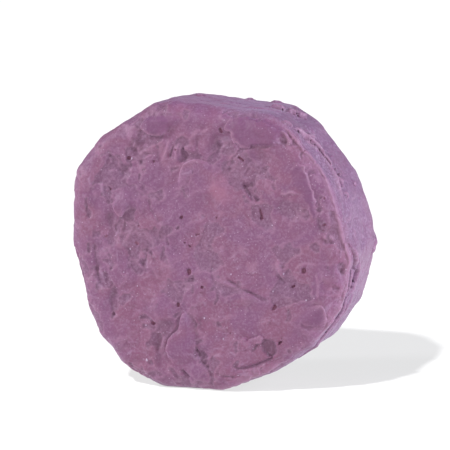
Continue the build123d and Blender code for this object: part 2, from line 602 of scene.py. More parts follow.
DISHES = (
    Dish(((6.0, 10.9), (7.7, 11.2), (8.1, 10.4), (8.5, 9.3), (9.1, 8.4), (8.6, 8.2), (7.5, 9.0),
        (6.6, 9.9)), 0.42, 0.18),
    Dish(((9.3, -14.7), (10.1, -14.3), (11.2, -14.7), (11.9, -15.4), (11.8, -16.6), (11.2, -17.3),
        (10.0, -17.2), (9.3, -16.2)), 0.6, 0.22),
    Dish(((-4.4, 16.8), (-3.6, 15.9), (-2.2, 15.9), (-0.7, 15.2), (-1.4, 14.9), (-3.2, 14.8), (-4.0, 14.0),
        (-4.8, 14.1), (-4.6, 15.4)), 0.36, 0.2),
    Dish(((11.7, 18.8), (12.2, 19.3), (12.9, 18.9), (13.5, 18.0), (13.2, 17.4), (12.4, 17.9)), 0.26, 0.5),
    Dish(((-13.0, 17.7), (-11.8, 17.8), (-10.4, 17.0), (-11.0, 15.6), (-12.6, 15.2),
        (-13.4, 16.2)), 0.35, 0.8),
    Dish(((-14.6, 13.3), (-13.0, 14.0), (-12.9, 13.2), (-13.8, 12.0), (-14.8, 11.4),
        (-15.2, 12.2)), 0.35, 0.5),
    Dish(((-16.5, -6.4), (-15.6, -6.6), (-15.1, -8.4), (-15.4, -10.4), (-16.2, -10.8),
        (-16.7, -8.6)), 0.4, 1.1),
    Dish(((-17.3, 5.2), (-16.0, 5.4), (-15.2, 3.6), (-15.8, 0.4), (-16.8, -1.0), (-17.2, 2.0)), 0.35, 1.4),
    Dish(((-8.9, -12.4), (-6.8, -12.2), (-5.2, -12.9), (-6.4, -14.2), (-7.4, -15.4), (-7.6, -17.2),
        (-8.9, -17.4), (-9.2, -14.6)), 0.35, 1.0),
    Dish(((5.6, 14.6), (9.6, 16.6), (12.0, 16.2), (10.6, 13.6), (8.0, 12.6), (5.4, 13.0)), 0.2, 2.0),
    Dish(((2.2, 18.9), (4.2, 18.4), (4.4, 17.0), (5.4, 16.2), (4.2, 15.4), (0.8, 15.6),
        (0.4, 17.4)), 0.3, 1.4),
    Dish(((14.8, 8.6), (16.0, 8.2), (16.6, 6.6), (15.6, 5.2), (12.6, 5.6), (11.6, 7.6),
        (12.8, 8.8)), 0.3, 1.4),
    Dish(((18.8, 6.2), (20.3, 5.4), (20.2, 3.6), (19.2, 3.2), (18.6, 4.6)), 0.35, 0.9),
    Dish(((-1.6, -16.6), (-0.4, -16.8), (0.4, -18.6), (0.6, -19.8), (-0.4, -19.0), (-1.4, -17.8)), 0.35, 0.5),
    Dish(((4.8, -19.9), (6.2, -19.1), (9.4, -18.0), (11.2, -17.0), (11.2, -17.6), (9.0, -19.0),
        (6.4, -19.9)), 0.22, 0.5),
    Dish(((21.7, -1.4), (22.6, -1.4), (22.9, -2.4), (22.6, -3.4), (21.9, -2.9), (21.6, -2.1)), 0.5, 0.6),
)


def on_rim(*rows: tuple[Path | float, ...]) -> tuple[Stroke, ...]:
    """Strokes measured round the rim, from the path, width, rise and bank of each."""
    return tuple(Stroke(*row, place=Place.RIM) for row in rows)


FACE_STROKES = (
    # Tears and drag lines in the front face.
    Stroke(((3.0, -4.8), (4.4, -5.3), (5.2, -5.8), (6.0, -6.4), (7.5, -6.9), (8.7, -7.4), (9.6, -7.9),
        (10.6, -7.8)), 0.2, -0.5),
    Stroke(((3.2, -5.1), (6.0, -6.7), (8.4, -7.7), (9.8, -8.2)), 0.5, 0.1),
    Stroke(((-2.1, -16.0), (-1.7, -17.2), (-1.2, -18.3), (-0.6, -19.1), (0.5, -19.9)), 0.16, -0.6),
    Stroke(((6.0, 11.0), (6.5, 10.1), (7.2, 9.2), (8.0, 8.2)), 0.18, -0.4),
    Stroke(((6.1, 11.0), (6.4, 10.4)), 0.26, -0.4),
    Stroke(((0.4, -1.6), (0.7, -2.9), (0.9, -4.6), (1.4, -5.9)), 0.18, -0.22, 0.9),
    Stroke(((3.1, 1.0), (3.3, 0.2), (3.7, -0.9), (4.1, -1.6)), 0.16, -0.18, 0.8),
    Stroke(((-7.1, 2.5), (-6.9, 1.2), (-6.5, 0.0)), 0.17, -0.25),
    Stroke(((-10.1, 8.4), (-10.0, 7.0), (-9.5, 5.8), (-8.9, 4.9), (-7.8, 3.8)), 0.18, -0.22, 1.0),
    Stroke(((4.2, -20.2), (5.4, -19.5), (6.6, -19.4), (8.4, -18.9), (9.6, -18.1), (10.6, -17.9),
        (11.6, -17.0), (11.8, -16.5)), 0.17, -0.32),
    Stroke(((-4.4, -20.1), (-3.7, -20.9), (-2.9, -21.6)), 0.22, -0.4),
    Stroke(((1.4, -20.5), (3.0, -21.0), (4.8, -20.9)), 0.16, -0.25),
    Stroke(((-19.8, 0.3), (-19.4, -1.5), (-19.2, -3.0), (-18.8, -4.4)), 0.35, -0.3, 0.9),
    Stroke(((-17.5, -4.4), (-17.2, -6.2)), 0.3, -0.25),
    Stroke(((6.8, -3.6), (7.3, -4.0), (7.9, -3.9)), 0.25, -0.22),
    Stroke(((12.0, -3.4), (12.7, -4.4), (13.4, -5.2)), 0.3, -0.35),
    Stroke(((6.9, 5.0), (7.5, 3.6), (7.9, 2.8)), 0.15, -0.14),
    Stroke(((-1.5, -11.4), (-1.2, -12.4), (-1.3, -13.6)), 0.18, -0.22, 0.6),
    Stroke(((18.5, -3.0), (18.9, -4.5), (18.8, -6.2), (18.9, -7.4)), 0.18, 0.22, 0.7),
    Stroke(((11.9, -1.5), (12.3, -2.6), (12.5, -3.5), (13.2, -4.2)), 0.28, 0.3),
    Stroke(((12.4, 9.9), (13.3, 9.5), (14.1, 10.1), (15.2, 9.6)), 0.22, 0.25),
    Stroke(((-15.0, -4.7), (-14.2, -4.8), (-13.6, -5.0)), 0.14, 0.16),
    Stroke(((-16.2, 4.2), (-15.6, 3.8), (-15.0, 3.2)), 0.14, 0.18),
    Stroke(((0.9, -12.2), (1.6, -11.0), (2.6, -9.6)), 0.10, 0.10),
    Stroke(((1.5, -12.0), (2.1, -11.0), (2.9, -10.2)), 0.10, 0.08),
    Stroke(((-14.2, 4.2), (-12.0, 3.6), (-9.9, 2.0), (-8.6, 0.4)), 0.35, 0.14),
    Stroke(((-11.0, 2.2), (-9.6, 1.2), (-8.2, -0.6)), 0.2, 0.1),
    Stroke(((12.2, 19.6), (13.0, 19.3), (13.7, 18.4), (13.9, 17.4)), 0.22, 0.35),
    Stroke(((-4.4, -9.6), (-4.9, -12.4), (-5.0, -13.3), (-5.8, -14.2), (-6.6, -14.9), (-7.1, -16.4),
        (-7.4, -17.4)), 0.3, -0.25),
    Stroke(((-19.6, -3.4), (-18.9, -5.0), (-18.3, -6.6)), 0.3, -0.3, 0.6),
    Stroke(((-17.0, -8.4), (-16.8, -9.8), (-16.0, -12.0)), 0.22, -0.28, 0.5),
    Stroke(((-11.4, 9.9), (-10.7, 9.0), (-10.2, 8.2)), 0.16, -0.2, 0.6),
    Stroke(((-14.8, -7.6), (-13.8, -7.9), (-12.9, -7.4)), 0.12, 0.16),
    Stroke(((-11.6, -2.4), (-10.9, -3.2), (-10.6, -4.4)), 0.2, -0.25, 0.7),
    Stroke(((-9.8, -0.6), (-9.3, -1.8), (-8.8, -2.6)), 0.2, -0.22, 0.5),
    Stroke(((-12.0, 2.0), (-10.2, 1.4), (-9.0, 0.2), (-8.0, -1.6)), 0.14, 0.14),
    Stroke(((-13.8, -1.6), (-13.4, -3.0), (-13.8, -4.2)), 0.2, -0.22, 0.6),
    # The stringy ridges left of the middle.
    Stroke(((-6.3, 17.9), (-6.8, 16.4), (-7.3, 15.2), (-7.6, 14.0)), 0.22, 0.28, 0.5),
    Stroke(((-4.7, 17.4), (-5.3, 16.0), (-5.2, 15.2), (-5.5, 14.3)), 0.20, 0.36, 0.3),
    Stroke(((-4.3, 17.0), (-4.7, 16.0), (-4.6, 15.0)), 0.14, 0.26),
    Stroke(((-3.8, 16.9), (-3.4, 16.0), (-2.6, 15.4)), 0.13, 0.22),
    Stroke(((-3.6, 16.6), (-2.8, 15.9), (-1.6, 15.5)), 0.12, 0.2),
    Stroke(((-5.2, 17.6), (-6.1, 16.6), (-6.4, 15.4)), 0.12, 0.2),
    Stroke(((-1.9, 18.6), (-1.8, 17.3), (-1.7, 16.2), (-1.1, 15.7)), 0.16, -0.2, 0.8),
    Stroke(((-5.6, 17.4), (-6.0, 16.2), (-6.4, 14.8)), 0.16, -0.4),
    Stroke(((-4.2, 16.8), (-4.1, 15.6), (-3.6, 14.6)), 0.16, -0.35),
    Stroke(((-8.6, 15.6), (-8.2, 14.8), (-8.0, 14.2)), 0.3, -0.22),
    Stroke(((-8.0, 15.8), (-9.6, 15.2), (-10.8, 15.4)), 0.18, -0.18),
    # Lumps and dark creases just inside the right of the rim.
    Stroke(((19.4, 3.0), (19.8, 2.4), (20.2, 1.8), (21.3, 1.9)), 0.2, -0.35),
    Stroke(((19.7, 3.1), (20.1, 2.4)), 0.32, 0.25),
    Stroke(((20.7, 3.2), (21.2, 2.4)), 0.30, 0.3),
    Stroke(((20.4, -1.8), (20.6, -2.6)), 0.2, -0.25),
    Stroke(((20.9, -5.4), (21.9, -5.6)), 0.3, -0.3),
    Stroke(((16.6, 14.6), (16.9, 13.0), (17.7, 11.0), (18.2, 8.8)), 0.3, -0.1, 0.8),
)

RIM_STROKES = on_rim(
    # The front edge of the rim on the right, the valley behind it and the folds on the wall.
    (((71, 1.6), (60, 1.7), (54, 1.0), (43, 1.1), (35, 1.2), (26, 0.8), (15, 0.7), (7, 0.8), (-3, 1.1),
        (-11, 1.8), (-17, 1.7), (-34, 1.5), (-43, 1.2)), 0.6, 0.2),
    (((58, 3.4), (50, 3.0), (40, 3.4), (30, 3.2), (20, 2.8), (10, 3.6), (2, 4.4)), 1.3, -0.42),
    (((57, 2.6), (48, 4.3), (44, 5.3), (36, 5.1), (27, 3.9), (20, 3.2)), 0.2, -0.3),
    (((54, 3.2), (48, 4.9), (44, 6.0), (36, 5.7), (27, 4.5), (21, 3.8)), 0.4, 0.25),
    (((64, 8.6), (50, 8.8), (38, 8.9), (26, 8.4)), 1.0, -0.35),
    (((14, 6.0), (8, 8.0), (0, 9.0)), 1.4, -0.3),
    (((-3, 3.0), (-7, 3.8), (-11, 3.9), (-15, 3.4)), 0.5, -0.4),
    (((-12, 3.6), (-24, 3.2), (-38, 3.0), (-48, 3.0)), 0.25, -0.35),
    (((-18, 6.6), (-24, 6.4), (-34, 6.2), (-46, 5.4)), 0.25, -0.35),
    (((-24, 9.6), (-34, 9.2), (-44, 8.8)), 0.25, -0.3),
    (((88, 9.0), (76, 8.0), (66, 7.4)), 0.3, -0.3),
    (((84, 5.0), (70, 6.0), (62, 7.0)), 0.25, 0.2),
    (((100, 6.0), (88, 6.6), (78, 5.4)), 0.25, -0.2),
    (((74, 10.0), (66, 11.6), (58, 12.6)), 0.2, -0.35),
    # The foot spreads a little to the right where it was set down.
    (((-84, 4.0), (-83, 7), (-84, 12)), 1.3, 0.4),
    # Creases round the lower left, where the face folds over onto the rim.
    (((-178, 1.2), (-168, 1.4), (-158, 1.6)), 0.25, -0.4),
    (((-150, 1.6), (-140, 1.9), (-128, 1.8), (-118, 1.4)), 0.28, -0.45),
    (((-120, 2.4), (-104, 2.2), (-90, 1.8), (-76, 2.0)), 0.3, -0.4),
    (((160, 4.0), (176, 5.0), (-170, 4.4)), 0.4, -0.35),
)


# ---- The relief -----------------------------------------------------------------------------------


@dataclass
class KneadedRelief:
    """All that hands and bench left on the skin: broad dents, torn plates, drag lines and marks."""

    skin: BareSkin
    smooth_spots: tuple[tuple[Path, float], ...]  # outlines that are pressed smooth, and how smooth
    dent: float = 0.40  # depth of the broad dents
    palm: float = 11.0  # width of those that the palm left
    thumb: float = 6.0  # and of those that the thumb left
    knead: float = 0.32  # height of the kneaded lumps
    lump: float = 3.1  # width of a kneaded lump
    small_lump: float = 1.6
    flatten: float = 0.10  # height at which their tops are pressed level
    crispness: float = 20.0  # how sharply they turn level there
    plate: float = 0.16  # thickness of the torn skin
    # Each layer of torn skin: its pattern, the width of its plates, and the noise value at their edge.
    plates: tuple[tuple[int, float, float], ...] = ((51, 6.5, -0.26), (151, 3.4, -0.50))
    drag: float = 0.16  # height of the steps where a thin layer was dragged
    streak: float = 0.065  # fine lines that fingers drew
    tooth: float = 0.022  # fine roughness
    filled: float = 0.05  # how high a smear fills the relief under it
    # Each set of steps: its pattern, its heading, and how far apart its steps are.
    drags: tuple[tuple[int, tuple[float, float, float], float], ...] = (
        (5, (-0.5, 0.3, -0.8), 5.2),
        (9, (0.75, 0.4, -0.5), 6.1),
        (14, (-0.2, -0.5, 0.84), 4.4),
    )
    rim_share: float = 0.6  # how much of the relief the rim has, which was rolled on the bench
    swirl: Spot = (4.5, 2.5)  # the middle of the lines that the palm drew as it turned
    palmed: float = 10.0  # how far round it the palm worked
    line_gap: float = 0.34  # from one line to the next
    calmed: float = 0.65  # how much of the relief the palm took away in the swirl
    wall_share: float = 0.35  # how much torn skin the walls have
    foot: Spot = (0.02, 0.7)  # how far above the bench the relief starts, and where it is whole
    # The pale patch and its tail: the middle of each, its width, its height, and how pale it is.
    pale: tuple[tuple[float, float, float, float, float], ...] = (
        (1.9, 10.0, 1.25, 1.7, 1.0),
        (3.0, 8.6, 1.6, 1.1, 0.5),
    )

    def broad(self, points: Array) -> Array:
        """The broad dents, which the eye reads as the shape and not as texture."""
        return self.dent * (noise(points, self.palm, 1) * 0.7 + noise(points, self.thumb, 2) * 0.45)

    def torn_skin(self, points: Array) -> tuple[Array, Array, Array]:
        """Smooth plates of pressed skin with torn edges, and the matte floor between them.

        Args:
            points: Points of the bare skin.

        Returns:
            The height at each point, how much of it is bare floor, and how much is a torn edge.
        """
        height, floor, torn = np.zeros(len(points)), np.zeros(len(points)), np.zeros(len(points))
        for seed, size, cut in self.plates:
            crooked = warped(points, size / 2, size / 5, seed)
            place = noise(crooked, size, seed + 3) + 0.45 * noise(crooked, size / 2.3, seed + 4)
            place += 0.12 * noise(points, 1.0, seed + 5)
            bare = 1 - smooth(place, cut, cut + 0.28 / size)
            edge = np.exp(-(((place - cut - 0.4 / size) / (0.3 / size)) ** 2))
            height += self.plate * (0.3 * edge - bare)
            floor = np.maximum(floor, bare)
            torn = np.maximum(torn, edge)
        face = smooth(-points[:, 1], -FRONT - 3.0, -FRONT - 0.6)
        there = self.wall_share + (1 - self.wall_share) * face
        return height * there + 0.04, floor * there, torn * there

    def drag_steps(self, points: Array) -> tuple[Array, Array]:
        """Low steps, each with a long slope behind it and a crisp crooked front.

        Args:
            points: Points of the bare skin.

        Returns:
            The height at each point, and how much of a step's front edge it is.
        """
        total, edge = np.zeros(len(points)), np.zeros(len(points))
        for seed, heading, pitch in self.drags:
            wander = 0.3 * noise(points, 1.1, seed + 4)
            run = warped(points, 3.4, 1.5, seed) @ np.array(heading) / pitch + wander / pitch
            step = run - np.floor(run)
            front = np.where(step < 0.95, step / 0.95, (1 - step) / 0.05)
            there = smooth(noise(points, 5.0, seed + 3), 0.0, 0.45)
            total += front**2 * there
            edge = np.maximum(edge, smooth(step, 0.86, 0.93) * there)
        return self.drag * total, edge

    def worked(self, points: Array) -> Array:
        """Finds where the palm smoothed the face.

        Args:
            points: Points of the bare skin.

        Returns:
            How smooth each point is, from 0 where it is rough to 1 in the swirl.
        """
        across = (points[:, 0] - self.swirl[0]) / self.palmed
        up = (points[:, 2] - self.swirl[1] + 1.5) / self.palmed
        return np.exp(-(across**2 + up**2)) * (points[:, 1] < 0)

    def pressed_smooth(self, points: Array) -> Array:
        """Finds where the finer relief was pressed out under a smear.

        Args:
            points: Points of the bare skin.

        Returns:
            The share of the relief that is left, from 1 outside the smears down to almost 0.
        """
        left = np.ones(len(points))
        for outline, tone in self.smooth_spots:
            inner = inside_outline(points[:, ::2], rounded(outline, closed=True))
            left *= 1 - tone * smooth(inner, -0.1, 1.0) * (points[:, 1] < FRONT + 4)
        return left

    def streaks(self, points: Array) -> Array:
        """Fine lines that run round the swirl on the face and along the rim on the walls.

        Args:
            points: Points of the bare skin.

        Returns:
            Their height, about -1 to 1.
        """
        crooked = warped(points, 4.0, 1.6, 33)
        across, up = crooked[:, 0] - self.swirl[0], crooked[:, 2] - self.swirl[1]
        round_about = np.hypot(across, up)
        lines = np.stack(
            [round_about / self.line_gap, np.arctan2(up, across) * 3.0, crooked[:, 1] / 0.5], axis=1
        )
        where = np.maximum(smooth(noise(points, 4.5, 37), -0.1, 0.4), self.worked(points))
        return where * (noise(lines, 1.0, 38) + 0.5 * noise(lines * 1.9, 1.0, 39))

    def local(self, points: Array) -> tuple[Array, Array, Array]:
        """The finer relief: lumps pressed level on top, torn plates, steps, lines and roughness.

        Args:
            points: Points of the bare skin.

        Returns:
            The height at each point, how much of it is bare floor, and how much is a torn edge.
        """
        lumps = self.knead * (noise(points, self.lump, 21) + 0.55 * noise(points, self.small_lump, 22))
        top = np.exp(-self.crispness * self.flatten)
        lumps = -np.log(np.exp(-self.crispness * lumps) + top) / self.crispness
        fine = noise(points, 0.75, 23) + 0.7 * noise(points, 0.38, 24)
        plates, floor, torn = self.torn_skin(points)
        left = self.pressed_smooth(points)
        rough = self.tooth * (0.7 + 1.3 * floor) * fine
        drawn = self.streak * self.streaks(points)
        palmed = 1 - self.calmed * self.worked(points)
        steps, fronts = self.drag_steps(points)
        height = ((lumps + plates + steps + rough) * palmed + drawn) * left
        torn = np.maximum(0.6 * torn, 0.55 * fronts * palmed)
        return height + (1 - left) * self.filled, floor * left, torn * left

    def marks(self, points: Array, normals: Array) -> tuple[Array, Array]:
        """Every pore, hollow and stroke together.

        Args:
            points: Points of the bare skin.
            normals: The outward direction at each.

        Returns:
            How far each point moves out, and how much painted highlight it has along a lip.
        """
        rise, lip = np.zeros(len(points)), np.zeros(len(points))
        for mark in (*DISHES, *FACE_STROKES, *RIM_STROKES, *PORES):
            corners = mark.corners(self.skin)
            low, high = corners.min(axis=0) - mark.reach(), corners.max(axis=0) + mark.reach()
            near = np.all((points > low) & (points < high), axis=1)
            out, edge = mark.press(points[near], normals[near], self.skin)
            rise[near] += out
            lip[near] = np.maximum(lip[near], edge)
        return rise, lip

    def thin_patch(self, points: Array) -> Array:
        """The pale patch above the middle, where the colour was worked thin.

        Args:
            points: Points of the bare skin.

        Returns:
            How much of the patch lies at each point, from 0 to 1.
        """
        crooked = warped(points, 1.4, 0.7, 45)
        patch = np.zeros(len(points))
        for across, up, wide, tall, share in self.pale:
            spread = ((crooked[:, 0] - across) / wide) ** 2 + ((crooked[:, 2] - up) / tall) ** 2
            patch += share * np.exp(-spread)
        return np.clip(patch, 0, 1) * (points[:, 1] < 0)

    def on_right_rim(self, points: Array, normals: Array) -> Array:
        """How far round on the right of the rim each point lies, from 0 on the face to 1."""
        # This is where the right side of the rim takes painted light, as it is lit from the right.
        return (1 - smooth(-normals[:, 1], 0.25, 0.75)) * smooth(points[:, 0], -4.0, 6.0)

    def in_pores(self, points: Array) -> Array:
        """Finds the pores.

        Args:
            points: Points of the bare skin.

        Returns:
            How far inside a pore each point lies, from 0 outside to 1 at its floor.
        """
        inside = np.zeros(len(points))
        for pore in PORES:
            corners = pore.corners(self.skin)
            near = np.linalg.norm(points - corners.mean(axis=0), axis=1) < 3 * pore.radius + 1.0
            distance, _, _ = along_path(points[near], corners, points[near])
            inside[near] = np.maximum(inside[near], 1 - smooth(distance / pore.radius, 0.6, 1.25))
        return inside

    def raise_all(self, points: Array, normals: Array) -> tuple[Array, Array, Array]:
        """The whole relief.

        Args:
            points: Points of the bare skin.
            normals: The outward direction at each.

        Returns:
            How far each point moves out, how much painted shade it has as a recess, groove or hollow, and how
            much painted highlight it has as a lip or torn edge.
        """
        marks, lip = self.marks(points, normals)
        local, floor, torn = self.local(points)
        start, whole = self.foot
        calm = smooth(points[:, 2], -STAND_REACH + start, -STAND_REACH + whole)
        # Painted shade: the torn floor, and the grooves, hollows and pores that sink more than 0.1 mm, are
        # darkened in colour.
        recess = np.maximum(0.85 * floor, 0.8 * smooth(-marks, 0.10, 0.26))
        facing = self.rim_share + (1 - self.rim_share) * smooth(-normals[:, 1], 0.15, 0.75)
        # Lips of marks, torn edges and step fronts take the painted highlight.
        return ((self.broad(points) + local) * facing + marks) * calm, recess, np.maximum(lip, torn)


# ---- Finishes ---------------------------------------------------------------------------------------


def linear(colour: str) -> tuple[float, float, float, float]:
    """Turns an sRGB colour to linear.

    Args:
        colour: Its hex value, such as #9A6F92.

    Returns:
        Linear red, green and blue, and an alpha of 1.
    """
    shares = [int(colour[start : start + 2], 16) / 255 for start in (1, 3, 5)]
    red, green, blue = (s / 12.92 if s <= 0.04045 else ((s + 0.055) / 1.055) ** 2.4 for s in shares)
    return red, green, blue, 1.0


def add_node(
    tree: bpy.types.NodeTree,
    kind: str,
    settings: dict[str, object] | None = None,
    **inputs: object,
) -> bpy.types.Node:
    """Adds a node with its settings and inputs.

    Args:
        tree: The material's node tree.
        kind: The node's type.
        settings: Properties of the node itself.
        inputs: For each socket, by name with _ for a space, a value or the socket that feeds it.

    Returns:
        The new node.
    """
    node = tree.nodes.new(kind)
    for name, value in (settings or {}).items():
        setattr(node, name, value)
    for name, value in inputs.items():
        socket = node.inputs[int(name[1:])] if name[1:].isdigit() else node.inputs[name.replace("_", " ")]
        if isinstance(value, bpy.types.NodeSocket):
            tree.links.new(value, socket)
        else:
            socket.default_value = value
    return node


def new_material(name: str) -> bpy.types.Material:
    """Starts a material with no nodes.

    Args:
        name: The material's name.

    Returns:
        The material.
    """
    material = bpy.data.materials.new(name)
    material.use_nodes = True
    material.node_tree.nodes.clear()
    return material


@dataclass(frozen=True)
class KneadedWaxCompound:
    """Rosin and beeswax compound, kneaded and pressed by hand.

    Wax scatters light a little way in, so edges glow and hollows stay soft. Pressed smears are smooth and deep
    in colour, and the torn floor has a pale bloom of fine wax crystals. Lips and torn edges carry a painted
    highlight, grooves and hollows painted shade, and the right of the rim painted light.
    """

    name: str = "kneaded_wax_compound"
    body: str = "#794B6E"
    roughness: float = 0.52
    dust_pitch: float = 0.62  # millimetres from one speck to the next
    dust_reach: float = 0.15  # of that
    dust_rare: float = 0.45  # the share of cells with no speck
    drawn: tuple[float, float] = (0.55, 0.82)  # where a drawn line starts to be pale, and is palest
    crystals: float = 0.32  # millimetres across the finest bloom
    stroked: float = 1.4  # and across the soft marks of the hand
    uneven: float = 0.16  # how far the roughness varies from place to place
    duller: float = 0.14  # how much rougher the torn floor is
    # Soft patterns: the width of their patches, detail, distortion, and the noise values that give 0 and 1.
    clouds: tuple[tuple[str, float, float, float, float, float], ...] = (
        ("bands", 7.0, 3.0, 0.8, 0.38, 0.64),
        ("mottle", 0.55, 4.0, 0.5, 0.50, 0.66),
        ("haze", 0.40, 5.0, 0.4, 0.47, 0.65),
        ("wisps", 1.3, 6.0, 3.0, 0.52, 0.66),
    )
    # Coats of colour, each over the last: its mask, the mask it stays within, how much shows, and its colour.
    coats: tuple[tuple[str, str, float, str], ...] = (
        ("bands", "", 1.0, "#7E4C69"),  # two batches of compound, folded together
        ("recess", "", 0.75, "#6F4B65"),  # painted shade: the torn floor between the plates, and the grooves and hollows, are darker and greyer; the floor is also matte
        ("mottle", "recess", 0.45, "#8F6C87"),  # and mottled with crystals of bloom
        ("haze", "", 0.48, "#8F6C88"),  # a thinner bloom lies all over
        ("wisps", "", 0.27, "#8F6C88"),
        ("drawn", "", 0.5, "#957390"),  # and in the fine lines that the hand drew
        ("rim", "", 0.4, "#7A5D7A"),  # painted light: the right side of the rim is greyer and paler, as it is lit from the right
        # painted sheen: a pale lavender over the right side of the rim, where the light from the right grazes
        # it
        ("haze", "rim", 0.4, "#A389A4"),
        ("smear", "", 0.75, "#6E4065"),  # a pressed smear is deep in colour
        ("lip", "", 0.55, "#A27892"),  # painted highlight along the lips of smears, ridges and torn edges
        ("thin", "", 0.55, "#A06882"),  # light comes through where it was worked thin
        ("pore", "", 1.0, "#8A5670"),  # and makes a hole warmer
        ("dust", "some", 0.46, "#CDB9CF"),
    )

    def make(self) -> bpy.types.Material:
        """Builds the material's nodes.

        Returns:
            The material.
        """
        material = new_material(self.name)
        tree = material.node_tree

        place = add_node(tree, "ShaderNodeTexCoord").outputs["Object"]
        masks = {}
        for name in ("smear", "lip", "recess", "rim", "thin", "pore", "streak"):
            masks[name] = add_node(tree, "ShaderNodeAttribute", {"attribute_name": name}).outputs["Fac"]
        soft = {"interpolation_type": "SMOOTHSTEP"}
        for name, width, detail, distortion, low, high in self.clouds:
            scale = 1 / (width * MM)
            cloud = add_node(
                tree, "ShaderNodeTexNoise", Vector=place, Scale=scale, Detail=detail, Distortion=distortion
            )
            grey = cloud.outputs["Fac"]
            cut = add_node(tree, "ShaderNodeMapRange", soft, Value=grey, From_Min=low, From_Max=high)
            masks[name] = cut.outputs["Result"]
        low, high = self.drawn
        cut = add_node(tree, "ShaderNodeMapRange", soft, Value=masks["streak"], From_Min=low, From_Max=high)
        masks["drawn"] = cut.outputs["Result"]
        # White mineral dust: one speck in about half the cells, some fainter than others.
        less, more, times = ({"operation": name} for name in ("LESS_THAN", "GREATER_THAN", "MULTIPLY"))
        cells = add_node(tree, "ShaderNodeTexVoronoi", Vector=place, Scale=1 / (self.dust_pitch * MM))
        near = add_node(tree, "ShaderNodeMath", less, _0=cells.outputs["Distance"], _1=self.dust_reach)
        parts = add_node(tree, "ShaderNodeSeparateColor", Color=cells.outputs["Color"])
        some = add_node(tree, "ShaderNodeMath", more, _0=parts.outputs[0], _1=self.dust_rare)
        faint = add_node(tree, "ShaderNodeMath", times, _0=some.outputs[0], _1=parts.outputs[1])
        masks["dust"], masks["some"] = near.outputs[0], faint.outputs[0]

        colour = linear(self.body)
        for mask, within, share, tint in self.coats:
            amount = add_node(tree, "ShaderNodeMath", times, _0=masks[mask], _1=share).outputs[0]
            if within:
                amount = add_node(tree, "ShaderNodeMath", times, _0=amount, _1=masks[within]).outputs[0]
            coat = add_node(
                tree, "ShaderNodeMix", {"data_type": "RGBA"}, _0=amount, _6=colour, _7=linear(tint)
            )
            colour = coat.outputs[2]

        crystals, stroked = 1 / (self.crystals * MM), 1 / (self.stroked * MM)
        grain = add_node(tree, "ShaderNodeTexNoise", Vector=place, Scale=crystals, Detail=4.0)
        stroke = add_node(
            tree, "ShaderNodeTexNoise", Vector=place, Scale=stroked, Detail=6.0, Distortion=3.0
        )
        add = {"operation": "MULTIPLY_ADD"}
        dull = self.roughness - self.uneven / 2
        dull = add_node(tree, "ShaderNodeMath", add, _0=grain.outputs["Fac"], _1=self.uneven, _2=dull)
        dull = add_node(
            tree, "ShaderNodeMath", add, _0=masks["recess"], _1=self.duller, _2=dull.outputs[0]
        )
        coarse = add_node(
            tree, "ShaderNodeBump", Height=stroke.outputs["Fac"], Strength=0.7, Distance=0.14 * MM
        )
        fine = add_node(
            tree,
            "ShaderNodeBump",
            Height=grain.outputs["Fac"],
            Strength=0.95,
            Distance=0.10 * MM,
            Normal=coarse.outputs["Normal"],
        )
        shader = add_node(
            tree,
            "ShaderNodeBsdfPrincipled",
            Base_Color=colour,
            Roughness=dull.outputs[0],
            Normal=fine.outputs["Normal"],
            IOR=1.45,
            Subsurface_Weight=0.15,
            Subsurface_Radius=(1.0, 0.45, 0.8),
            Subsurface_Scale=0.5 * MM,
            Sheen_Weight=0.24,
            Sheen_Roughness=0.45,
            Sheen_Tint=linear("#DDCFEE"),
        )
        add_node(tree, "ShaderNodeOutputMaterial", Surface=shader.outputs["BSDF"])
        return material


@dataclass(frozen=True)
class MineralGrain:
    """Crushed white mineral: dull, slightly waxy crystals that catch the light."""

    name: str = "crushed_white_mineral"
    colour: str = "#B7A2B8"
    shade: str = "#9C7F9B"
    roughness: float = 0.42

    def make(self) -> bpy.types.Material:
        """Builds the material's nodes.

        Returns:
            The material.
        """
        material = new_material(self.name)
        tree = material.node_tree
        place = add_node(tree, "ShaderNodeTexCoord").outputs["Object"]
        cloud = add_node(tree, "ShaderNodeTexNoise", Vector=place, Scale=1 / (0.2 * MM), Detail=3.0)
        grey = cloud.outputs["Fac"]
        light, dark = linear(self.colour), linear(self.shade)
        tint = add_node(tree, "ShaderNodeMix", {"data_type": "RGBA"}, _0=grey, _6=light, _7=dark)
        bump = add_node(tree, "ShaderNodeBump", Height=grey, Strength=0.5, Distance=0.03 * MM)
        shader = add_node(
            tree,
            "ShaderNodeBsdfPrincipled",
            Base_Color=tint.outputs[2],
            Roughness=self.roughness,
            Normal=bump.outputs["Normal"],
            IOR=1.54,
        )
        add_node(tree, "ShaderNodeOutputMaterial", Surface=shader.outputs["BSDF"])
        return material


# ---- The pieces -------------------------------------------------------------------------------------


